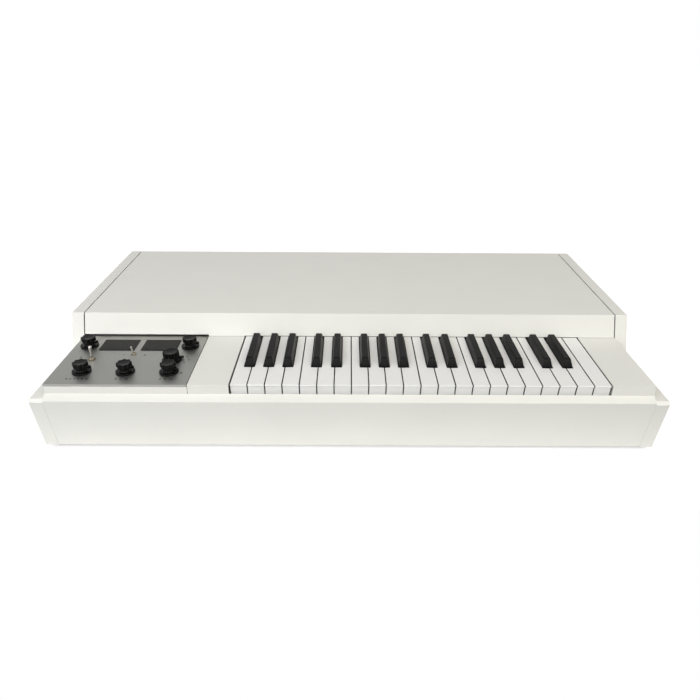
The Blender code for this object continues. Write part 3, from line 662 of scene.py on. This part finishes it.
def dished(height, rim, lobes, depth):
    """The upper rings of a knob: a rounded rim round a shallow dish."""
    return [
        (height - 0.8 * MM, lobed(rim, lobes, depth)),
        (height - 0.25 * MM, lobed(rim - 0.25 * MM, lobes, depth)),
        (height, lobed(rim - 0.9 * MM, lobes, depth)),
        (height - 0.1 * MM, lobed(rim - 1.7 * MM, lobes, depth)),
        (height - 0.6 * MM, 0.55 * rim),
        (height - 0.7 * MM, 0.2 * rim),
    ]


def small_knob(skirt, cap):
    """A small knob: skirt with pointer, ribbed neck and an overhanging cap with eight lobes."""
    neck, low, height, depth = 7.6 * MM, 9.2 * MM, 15 * MM, 0.15 * cap
    ribs = lobed(neck, 14, 0.9 * MM)
    rings = [
        *skirted(skirt, neck),
        (4.2 * MM, ribs),
        (low, ribs),
        (low, lobed(cap - 0.3 * MM, 8, depth)),
        (low + 0.3 * MM, lobed(cap, 8, depth)),
        *dished(height, cap, 8, depth),
    ]
    return gathered([turned(rings, 128), pointer(neck - 1 * MM, skirt + 0.6 * MM, 1.2 * MM, 4.4 * MM)])


def selector_knob(barrel):
    """The selector: skirt with a long pointer, and a fluted barrel that runs down to it."""
    skirt, height = 13.8 * MM, 14.8 * MM
    flutes = lobed(barrel, 16, 1.5 * MM)
    rings = [
        *skirted(skirt, barrel - 1 * MM),
        (4.2 * MM, flutes),
        *dished(height, barrel, 16, 1.5 * MM),
    ]
    return gathered([turned(rings, 160), pointer(barrel - 1 * MM, 17.2 * MM, 1.8 * MM, 4.4 * MM)])


def spindle():
    """A potentiometer's shaft, from inside the knob down to its bush, with broken edges."""
    return turned([(-6 * MM, 2.6 * MM), (-5.6 * MM, 3 * MM), (0.4 * MM, 3 * MM), (1.2 * MM, 2.4 * MM)], 32)


def lever(length, ball):
    """A bat lever on its ball, whose middle is the pivot."""
    stem = ball * 0.7
    rises = [math.radians(degrees) for degrees in range(-80, 50, 10)]
    rings = [(ball * math.sin(rise) * 0.8, ball * math.cos(rise) * 0.8) for rise in rises]
    rings += [
        (ball * 0.8, stem * 0.9),
        (length * 0.35, stem),
        (length * 0.6, stem * 1.2),
        (length * 0.8, stem * 1.5),
        (length * 0.91, stem * 1.5),
        (length * 0.97, stem * 1.25),
        (length, stem * 0.6),
    ]
    return turned(rings, 32)


def lean_of(node):
    """Turn from upright to the way a lever stands at rest."""
    axis = axis_of(node)
    tip = max((vert.co for vert in NODES[node].data.vertices), key=lambda place: (place - axis).length)
    top = [vert.co - axis for vert in NODES[node].data.vertices if (vert.co - tip).length < 4 * MM]
    middle = sum(top, Vector()) / len(top)
    return Vector((0, 0, 1)).rotation_difference(middle).to_matrix().to_4x4()


def numeral(words, x, y):
    """Plain figures that lie on the panel, in a mesh of their own."""
    curve = bpy.data.curves.new("numeral", "FONT")
    curve.body = words
    curve.size = settings("panel").numeral
    curve.align_x, curve.align_y = "CENTER", "CENTER"
    curve.extrude = PROUD
    curve.offset = 0.15 * MM
    holder = bpy.data.objects.new("numeral", curve)
    mesh = bpy.data.meshes.new_from_object(holder)
    bm = bmesh.new()
    bm.from_mesh(mesh)
    bmesh.ops.remove_doubles(bm, verts=bm.verts, dist=1e-6)
    bpy.data.objects.remove(holder)
    bpy.data.curves.remove(curve)
    bpy.data.meshes.remove(mesh)
    return at(bm, x, y, FACE + PROUD)


class PLAYBACK_OT_cabinet(bpy.types.Operator):
    """Lacquer the boards, round their edges and put the cabinet on its feet"""

    bl_idname = "playback.cabinet"
    bl_label = "Cabinet"

    def execute(self, context):
        chosen = settings("cabinet")
        # The rail's joints with the side boards are filled before spraying, so they hardly show, and only a pale
        # shade is painted into them.
        filled = material(sprayed_lacquer, "filled_satin_lacquer", "DAD8D0", 2 * MM, 0.45)
        for name in THIN_EDGED:
            dress(name, filled, chosen.thin_edge)
        # The hood's, blocks' and rear panel's seams stay open, and a near-black shade is painted into them.
        open_seamed = material(sprayed_lacquer, "sprayed_satin_lacquer", "1E1C19", 5 * MM, 0.75)
        for name in SOFT_EDGED:
            dress(name, open_seamed, chosen.edge)

        foot = chosen.foot_height
        low = (BASE_LOW.x, BASE_LOW.y, foot)
        board = block(low, BASE_HIGH, 0.6 * MM)
        new_piece("bottom_board", board, material(sealed_fibreboard), replaced=["base_board"])
        inset = 34 * MM
        columns = (BASE_LOW.x + inset, BASE_HIGH.x - inset)
        rows = (BASE_LOW.y + inset, BASE_HIGH.y - inset)
        places = [Vector((x, y, 0)) for x in columns for y in rows]
        rings = [
            (2.6 * MM, 4.6 * MM),
            (0.2 * MM, 5 * MM),
            (0, 5.4 * MM),
            (0, 8.8 * MM),
            (0.5 * MM, 9.6 * MM),
            (foot - 0.5 * MM, 11.9 * MM),
            (foot, 11.7 * MM),
        ]
        new_piece("rubber_feet", copies(turned(rings), places), material(moulded_rubber))
        down = Matrix.Rotation(math.pi, 4, "X")
        # The screws sit in the hollows of the feet.
        sunk = Vector((0, 0, rings[0][0]))
        heads = copies(screw(3.4 * MM, 1.2 * MM), [place + sunk for place in places], down)
        new_piece("foot_screws", heads, zinc())
        middle = (BASE_LOW.x + BASE_HIGH.x) / 2
        inner = 90 * MM
        spots = [(x, y) for x in (columns[0] + inner, middle, columns[1] - inner) for y in rows]
        spots = [Vector((x, y + (y - (rows[0] + rows[1]) / 2) * 0.1, foot - PROUD)) for x, y in spots]
        new_piece("board_screws", copies(screw(4 * MM, 0), spots, down), black_steel())
        return {"FINISHED"}


class PLAYBACK_OT_keys(bpy.types.Operator):
    """Give the keys and their chassis their finishes"""

    bl_idname = "playback.keys"
    bl_label = "Keys"

    def execute(self, context):
        chosen = settings("keys")
        for name in NATURALS:
            dress(name, material(natural_abs), chosen.edge)
        for name in SHARPS:
            dress(name, material(sharp_abs), chosen.edge)
        dress("key_frame", zinc())
        return {"FINISHED"}


class PLAYBACK_OT_panel(bpy.types.Operator):
    """Finish the control panel and displays, and add panes, plain numerals and a lamp"""

    bl_idname = "playback.panel"
    bl_label = "Control panel"

    def execute(self, context):
        dress("control_panel", material(anodised_aluminium), 0.25 * MM)
        panes = []
        for name in DISPLAYS:
            dress(name, material(smoked_acrylic))
            # The module's rim lies hidden under the panel, and its pane covers the window.
            low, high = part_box(name)
            width, depth = high.x - low.x - 7 * MM, high.y - low.y - 5.6 * MM
            pane = plate(width, depth, 0, 0.7 * MM, 0.6 * MM, 0.15 * MM)
            panes.append(at(pane, (low.x + high.x) / 2, (low.y + high.y) / 2 - 1 * MM, FACE))
        new_piece("display_panes", gathered(panes), material(smoked_acrylic))
        lens = [
            (-4 * MM, 1.3 * MM),
            (0, 1.35 * MM),
            (0.3 * MM, 1.25 * MM),
            (0.6 * MM, 0.9 * MM),
            (0.75 * MM, 0.4 * MM),
        ]
        lamp = at(turned(lens, 24), PANEL_HIGH.x - 14.2 * MM, PANEL_LOW.y + 31.9 * MM, FACE)
        new_piece("lamp_lens", lamp, material(smoked_acrylic))

        figures = []
        for name, words in zip(KNOBS[2:], ("0  2  4  6  8  10", "0   5   10", "0   5   10")):
            axis = axis_of(name)
            figures.append(numeral(words, axis.x + 1 * MM, axis.y - 20 * MM))
        for name, places in (
            ("selector_knob", (("1", 10, 25), ("2", 20, 10), ("3", 24, 1), ("4", 19, -8))),
            ("toggle_lever_large", (("1", -26, 24), ("2", -17.5, 5.5))),
            ("toggle_lever_small", (("1", -13.6, -3), ("2", 17, -3))),
        ):
            axis = axis_of(name)
            figures += [numeral(words, axis.x + x * MM, axis.y + y * MM) for words, x, y in places]
        new_piece("panel_numerals", gathered(figures), material(printed_ink))
        return {"FINISHED"}


class PLAYBACK_OT_controls(bpy.types.Operator):
    """Fill the control box: circuit board, potentiometers, switch bodies, nuts and display pads"""

    bl_idname = "playback.controls"
    bl_label = "Circuit board and switches"

    def execute(self, context):
        top = BOARD_LOW.z + LAMINATE
        board = block(BOARD_LOW, (BOARD_HIGH.x, BOARD_HIGH.y, top), 0.2 * MM)
        laminate = material(soldered_laminate)
        new_piece("circuit_board", board, laminate, replaced=["control_board"])

        axes = [axis_of(name) for name in (*KNOBS, "selector_knob")]
        can = [
            (0, 7.6 * MM),
            (0.4 * MM, 8 * MM),
            (5.8 * MM, 8 * MM),
            (6.2 * MM, 7.5 * MM),
            (7 * MM, 7.3 * MM),
        ]
        places = [Vector((axis.x, axis.y, top)) for axis in axes]
        new_piece("potentiometer_cans", copies(turned(can), places), zinc())
        bush = threaded(6.9 * MM, FACE - 1 * MM - top, 3.3 * MM, 4.6 * MM, 0.75 * MM)
        new_piece("potentiometer_bushes", copies(bush, places), brass())

        shoulder = PANEL_LOW.z - 3 * MM
        nuts, bushes, washers, bodies = [], [], [], []
        thick = 0.5 * MM
        for name, _, ball, radius, rise, cover in LEVERS:
            x, y, _ = axis_of(name)
            half = radius * 1.15
            bodies.append(block((x - half, y - half, top), (x + half, y + half, shoulder), 0.4 * MM))
            bush = threaded(0, FACE + rise - shoulder, ball + 0.3 * MM, radius, 0.7 * MM)
            bushes.append(at(bush, x, y, shoulder))
            washer = tube(0, thick, radius + 0.05 * MM, cover, 0.12 * MM)
            washers.append(at(washer, x, y, FACE))
            nut = hexagon(thick, thick + rise * 0.6, cover * 1.5, radius - 0.1 * MM)
            nuts.append(at(nut, x, y, FACE))
        new_piece("switch_bodies", gathered(bodies), material(filled_nylon))
        for name, solids in (("switch_bushes", bushes), ("switch_washers", washers), ("switch_nuts", nuts)):
            new_piece(name, gathered(solids), material(dulled_nickel))

        pads = []
        for name in DISPLAYS:
            low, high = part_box(name)
            middle = (low.y + high.y) / 2 - 0.3 * MM
            for x in (low.x + 2 * MM, high.x - 2 * MM):
                corner = (x + 2 * MM, middle + 4 * MM, low.z - 0.3 * MM)
                pads.append(block((x - 2 * MM, middle - 4 * MM, top), corner, 0.5 * MM))
        new_piece("display_pads", gathered(pads), material(filled_nylon))
        return {"FINISHED"}


class PLAYBACK_OT_knobs(bpy.types.Operator):
    """Put the knobs on their spindles and the bat levers in their bushes"""

    bl_idname = "playback.knobs"
    bl_label = "Knobs and levers"

    def execute(self, context):
        chosen = settings("knobs")
        for name in (*KNOBS, "selector_knob"):
            axis = axis_of(name)
            place = Matrix.Translation((axis.x, axis.y, FACE))
            turn = Matrix.Rotation(bearing(name), 4, "Z")
            if name == "selector_knob":
                solid = selector_knob(chosen.selector)
            else:
                solid = small_knob(chosen.skirt, chosen.cap)
            moulding = moved(solid, turn, place)
            new_piece(f"{name}_moulding", moulding, material(moulded_phenolic), name, 35)
            shaft = moved(spindle(), turn, place)
            new_piece(f"{name}_spindle", shaft, nickel(), name, replaced=[name])
        for name, length, ball, *_ in LEVERS:
            solid = moved(lever(length, ball), lean_of(name), Matrix.Translation(axis_of(name)))
            new_piece(f"{name}_bat", solid, nickel(), name, 40, [name])
        return {"FINISHED"}


class PLAYBACK_OT_sockets(bpy.types.Operator):
    """Fill the connector bay: plate, jacks, round sockets, mains inlet and the board behind them"""

    bl_idname = "playback.sockets"
    bl_label = "Connector bay"

    def execute(self, context):
        outside = UNIT_HIGH.y
        inside = outside - 2 * MM
        bay_low, bay_high = (Vector(corner) for corner in OPENINGS["connector_bay"])
        height = (bay_low.z + bay_high.z) / 2

        def middle(name):
            low, high = OPENINGS[name]
            return (low[0] + high[0]) / 2

        def placed(solid, x, y=outside):
            return facing_back(solid, x, y, height)

        def bore(x, radius, depth):
            return placed(turned([(-depth, radius), (6 * MM, radius)], 32), x)

        def body(x, half_width, half_height, depth, hollow):
            low = (x - half_width, inside - depth, height - half_height)
            return cut(block(low, (x + half_width, inside, height + half_height), 0.5 * MM), hollow)

        jacks = [middle(f"jack_{number}") for number in range(1, 5)]
        rounds = [middle(f"round_socket_{number}") for number in (1, 2)]
        inlet = middle("mains_inlet")

        # Clearance holes in the plate, round the sockets' own bores
        holes = [bore(x, 4.7 * MM, 4 * MM) for x in jacks] + [bore(x, 8 * MM, 4 * MM) for x in rounds]
        holes.append(placed(plate(25 * MM, 17 * MM, -4 * MM, 4 * MM, 3 * MM), inlet))
        plate_height = 76 * MM
        sheet = block((UNIT_LOW.x, inside, UNIT_HIGH.z - plate_height), UNIT_HIGH, 0.3 * MM)
        sheet = cut(sheet, *holes)
        new_piece("connector_plate", sheet, black_steel(), replaced=["connector_unit"])

        bodies = [body(x, 6.8 * MM, 11 * MM, 20.4 * MM, bore(x, 3.3 * MM, 20 * MM)) for x in jacks]
        bodies += [body(x, 11 * MM, 11 * MM, 11.4 * MM, bore(x, 7.6 * MM, 11 * MM)) for x in rounds]
        well = placed(plate(24 * MM, 16 * MM, -16 * MM, 6 * MM, 3 * MM), inlet)
        bodies.append(body(inlet, 16 * MM, 11.3 * MM, 17.4 * MM, well))
        new_piece("socket_bodies", gathered(bodies), material(filled_nylon))

        collars, nuts = [], []
        for x in jacks:
            collars.append(placed(threaded(-2 * MM, 3 * MM, 3.25 * MM, 4.6 * MM, 0.7 * MM), x))
            collars.append(placed(tube(0, 0.5 * MM, 4.65 * MM, 6.6 * MM, 0.12 * MM), x))
            nuts.append(placed(hexagon(0.5 * MM, 2.3 * MM, 11 * MM, 4.5 * MM), x))
        for x in rounds:
            collars.append(placed(tube(-6 * MM, 0.4 * MM, 7 * MM, 7.5 * MM, 0.1 * MM), x))
        new_piece("socket_collars", gathered(collars), nickel())
        new_piece("jack_nuts", gathered(nuts), nickel())

        trims, inserts, studs = [], [], []
        flange_height, pin_circle = 1.2 * MM, 3.9 * MM
        for x in rounds:
            flange = plate(26 * MM, 20 * MM, 0, flange_height, 2 * MM)
            flange = cut(flange, turned([(-1 * MM, 7.6 * MM), (3 * MM, 7.6 * MM)]))
            trims.append(placed(flange, x))
            pins = []
            for turn in range(180, 361, 45):
                reach = Matrix.Rotation(math.radians(turn), 2) @ Vector((pin_circle, 0))
                pins.append(at(turned([(-3 * MM, 0.8 * MM), (3 * MM, 0.8 * MM)], 12), reach.x, reach.y, 0))
            disc = cut(turned([(-2 * MM, 6.9 * MM), (-0.3 * MM, 6.9 * MM), (0, 6.6 * MM)]), *pins)
            inserts.append(placed(disc, x, outside - 4 * MM))
            studs += [Vector((x + side * 10.6 * MM, outside + flange_height, height)) for side in (-1, 1)]
        bezel = plate(33 * MM, 23 * MM, 0, 2 * MM, 2.5 * MM, 0.5 * MM)
        bezel = cut(bezel, plate(24 * MM, 16 * MM, -1 * MM, 4 * MM, 3 * MM))
        trims.append(placed(bezel, inlet))
        new_piece("socket_flanges", gathered(trims), material(filled_nylon))
        new_piece("round_inserts", gathered(inserts), material(filled_nylon))
        blades = []
        for x, y in ((0, -2.5), (-7, 1.5), (7, 1.5)):
            blade = block((-1 * MM, -2 * MM, -15.5 * MM), (1 * MM, 2 * MM, -1 * MM), 0.4 * MM)
            blades.append(at(blade, x * MM, y * MM, 0))
        new_piece("inlet_pins", placed(gathered(blades), inlet), nickel())

        back = Matrix.Rotation(math.radians(-90), 4, "X")
        new_piece("socket_screws", copies(screw(1.6 * MM, 0.7 * MM), studs, back), zinc())
        inset = 7 * MM
        corners = [
            Vector((x, outside, z))
            for x in (bay_low.x + inset, bay_high.x - inset)
            for z in (bay_low.z + 6 * MM, bay_high.z - 6 * MM)
        ]
        new_piece("plate_screws", copies(screw(3 * MM, 1.6 * MM), corners, back), zinc())

        level = height - 11.1 * MM
        under, over = level - LAMINATE / 2, level + LAMINATE / 2
        front = UNIT_LOW.y
        main = block((bay_low.x, front, under), (bay_high.x, inside, over), 0.2 * MM)
        new_piece("main_board", main, material(soldered_laminate))
        feet = [
            Vector((x, y, BASE_HIGH.z + 0.3 * MM))
            for x in (bay_low.x + inset, bay_high.x - inset)
            for y in (front + inset, inside - inset)
        ]
        post = hexagon(0, under - feet[0].z, 6 * MM, 1.5 * MM)
        new_piece("board_posts", copies(post, feet), brass())
        chip = block((-9 * MM, -9 * MM, 0), (9 * MM, 9 * MM, 2 * MM), 0.3 * MM)
        spots = [Vector((bay_low.x + x * MM, front + 49 * MM, over)) for x in (50, 90, 150)]
        new_piece("main_board_chips", copies(chip, spots), material(filled_nylon))

        low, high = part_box("rear_panel")
        columns = (low.x + 30 * MM, 0, high.x - 30 * MM)
        rows = (low.z + 8 * MM, high.z - 12 * MM)
        spots = [Vector((x, high.y, z)) for x in columns for z in rows]
        new_piece("rear_screws", copies(screw(4 * MM, 0), spots, back), black_steel())
        return {"FINISHED"}


def white_to_the_eye(tree, plain, white):
    """Shows one shader to the camera and in reflections and glass, and another to all other light."""
    ray = add(tree, "ShaderNodeLightPath")
    seen = ray.outputs["Is Camera Ray"]
    for other in ("Is Glossy Ray", "Is Transmission Ray"):
        seen = add(tree, "ShaderNodeMath", {0: seen, 1: ray.outputs[other]}, operation="MAXIMUM").outputs[0]
    return add(tree, "ShaderNodeMixShader", {0: seen, 1: plain, 2: white}).outputs[0]


def floor_finish():
    """Matt white floor. The camera sees it near white, and it keeps a soft shadow. Close under the cabinet its
    glow gives way to the plain surface, which paints a darker contact shadow there.
    """
    made, shader = finish("matt_white_floor", linear("EDEDED"), 0.9, specular=0.1)
    tree = shader.id_data
    glow = add(tree, "ShaderNodeEmission", {"Color": (1, 1, 1, 1), "Strength": 1.25})
    # The glow fades where the cabinet stands close above, a painted contact shadow.
    near = add(tree, "ShaderNodeAmbientOcclusion", {"Distance": 25 * MM}, samples=8)
    limits = {"Value": near.outputs["AO"], "From Min": 0, "From Max": 0.5, "To Min": 0.2, "To Max": 0.8}
    share = add(tree, "ShaderNodeMapRange", limits).outputs["Result"]
    pale = add(tree, "ShaderNodeMixShader", {0: share, 1: shader.outputs[0], 2: glow.outputs[0]}).outputs[0]
    surface = white_to_the_eye(tree, shader.outputs[0], pale)
    tree.links.new(surface, tree.nodes["Material Output"].inputs["Surface"])
    return made


def studio_world():
    """A white background, reflections of a white surround under a dimmer ceiling, and even soft light."""
    world = bpy.data.worlds.new("studio")
    bpy.context.scene.world = world
    world.use_nodes = True
    tree = world.node_tree
    tree.nodes.clear()
    direction = add(tree, "ShaderNodeTexCoord").outputs["Generated"]
    rise = add(tree, "ShaderNodeSeparateXYZ", {"Vector": direction}).outputs["Z"]
    limits = {"Value": rise, "From Min": 0.1, "From Max": 0.5, "To Min": 1.0, "To Max": 0.5}
    ceiling = add(tree, "ShaderNodeMapRange", limits).outputs["Result"]
    camera = add(tree, "ShaderNodeLightPath").outputs["Is Camera Ray"]
    seen = add(tree, "ShaderNodeMath", {0: ceiling, 1: camera}, operation="MAXIMUM").outputs[0]
    soft = 0.19
    light, white = (
        add(tree, "ShaderNodeBackground", {"Color": (1, 1, 1, 1), "Strength": strength}).outputs[0]
        for strength in (soft, seen)
    )
    output = add(tree, "ShaderNodeOutputWorld")
    tree.links.new(white_to_the_eye(tree, light, white), output.inputs["Surface"])


def soft_light(name, place, aim, size, power, colour):
    lamp = bpy.data.lights.new(name, "AREA")
    lamp.shape = "RECTANGLE"
    lamp.size, lamp.size_y = size
    lamp.energy = power
    lamp.color = linear(colour)
    obj = bpy.data.objects.new(name, lamp)
    obj.location = place
    obj.rotation_euler = (Vector(aim) - Vector(place)).to_track_quat("-Z", "Y").to_euler()
    bpy.context.scene.collection.objects.link(obj)


class PLAYBACK_OT_stage(bpy.types.Operator):
    """Set up the camera, floor and light"""

    bl_idname = "playback.stage"
    bl_label = "Stage"

    def execute(self, context):
        scene = context.scene
        chosen = settings("stage")
        camera = bpy.data.objects.new("camera", bpy.data.cameras.new("camera"))
        camera.data.lens = chosen.lens
        camera.data.sensor_width = 36
        camera.data.shift_x = chosen.shift
        camera.data.clip_end = 50
        heading = Matrix.Rotation(-chosen.yaw, 4, "Z")
        tilt = Matrix.Rotation(math.pi / 2 - chosen.pitch, 4, "X")
        roll = Matrix.Rotation(chosen.roll, 4, "Z")
        camera.matrix_world = Matrix.Translation(chosen.camera_place) @ heading @ tilt @ roll
        scene.collection.objects.link(camera)
        scene.camera = camera

        # The floor ends about 110 mm in front of the cabinet, so that the rail gets brighter downwards.
        reach, front = 6, -0.34
        bm = bmesh.new()
        ahead = Matrix.Translation((0, front + reach, 0))
        bmesh.ops.create_grid(bm, x_segments=1, y_segments=1, size=reach, matrix=ahead)
        mesh = bpy.data.meshes.new("floor")
        bm.to_mesh(mesh)
        bm.free()
        floor = bpy.data.objects.new("floor", mesh)
        mesh.materials.append(floor_finish())
        scene.collection.objects.link(floor)

        studio_world()
        for lamp in LAMPS:
            soft_light(*lamp)
        scene.view_settings.view_transform = "Standard"
        return {"FINISHED"}


class PLAYBACK_PT_panel(bpy.types.Panel):
    """Lists the steps and their settings"""

    bl_label = "Playback keyboard"
    bl_idname = "PLAYBACK_PT_panel"
    bl_space_type = "VIEW_3D"
    bl_region_type = "UI"
    bl_category = "Playback Keyboard"

    def draw(self, context):
        for name, group in SETTINGS.items():
            box = self.layout.box()
            for setting in group.__annotations__:
                box.prop(getattr(context.scene, name), setting)
        for operator in OPERATORS:
            self.layout.operator(operator.bl_idname)


OPERATORS = (
    PLAYBACK_OT_stage,
    PLAYBACK_OT_cabinet,
    PLAYBACK_OT_keys,
    PLAYBACK_OT_panel,
    PLAYBACK_OT_controls,
    PLAYBACK_OT_knobs,
    PLAYBACK_OT_sockets,
)


def register():
    for group in (*SETTINGS.values(), *OPERATORS, PLAYBACK_PT_panel):
        bpy.utils.register_class(group)
    for name, group in SETTINGS.items():
        setattr(bpy.types.Scene, name, bpy.props.PointerProperty(type=group))


def unregister():
    for name in SETTINGS:
        delattr(bpy.types.Scene, name)
    for group in reversed((*SETTINGS.values(), *OPERATORS, PLAYBACK_PT_panel)):
        bpy.utils.unregister_class(group)


def main():
    register()
    bpy.ops.playback.stage()
    bpy.ops.playback.cabinet()
    bpy.ops.playback.keys()
    bpy.ops.playback.panel()
    bpy.ops.playback.controls()
    bpy.ops.playback.knobs()
    bpy.ops.playback.sockets()
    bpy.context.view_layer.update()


if __name__ == "__main__":
    main()
